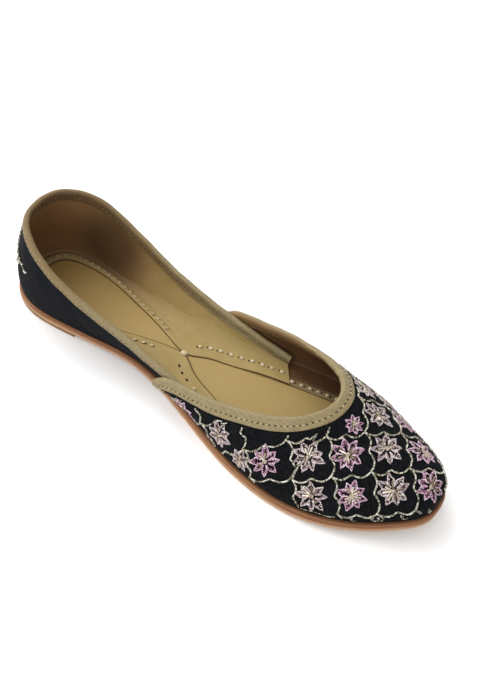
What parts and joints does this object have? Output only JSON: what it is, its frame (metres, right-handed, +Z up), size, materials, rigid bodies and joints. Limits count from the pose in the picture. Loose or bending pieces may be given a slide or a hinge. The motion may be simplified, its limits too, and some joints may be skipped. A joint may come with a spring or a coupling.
{
  "type": "jutti",
  "caption": "Flat slip-on shoe with a pointed low-cut embroidered vamp, bound topline and throat, tan leather lining and insole, and a flat leather sole.",
  "frame": {"origin": "on the floor under the middle of the sole, at the bottom centre of the shoe's box", "axes": "+X from heel to toe, +Y to the shoe's left, +Z up from the floor"},
  "size_m": [0.245, 0.0786, 0.055],
  "materials": {
    "sole_leather": "bare vegetable-tanned edge",
    "insole_leather": "smooth satin",
    "upper_fabric": "dark woven cloth",
    "binding_leather": "satin khaki",
    "lining_leather": "smooth satin",
    "thread": "silk thread",
    "metal_cord": "metallic wound thread"
  },
  "bodies": {
    "root": {"outsole": "sole_leather", "heel_lift": "sole_leather", "insole": "insole_leather", "upper": "upper_fabric"}
  },
  "joints": []
}
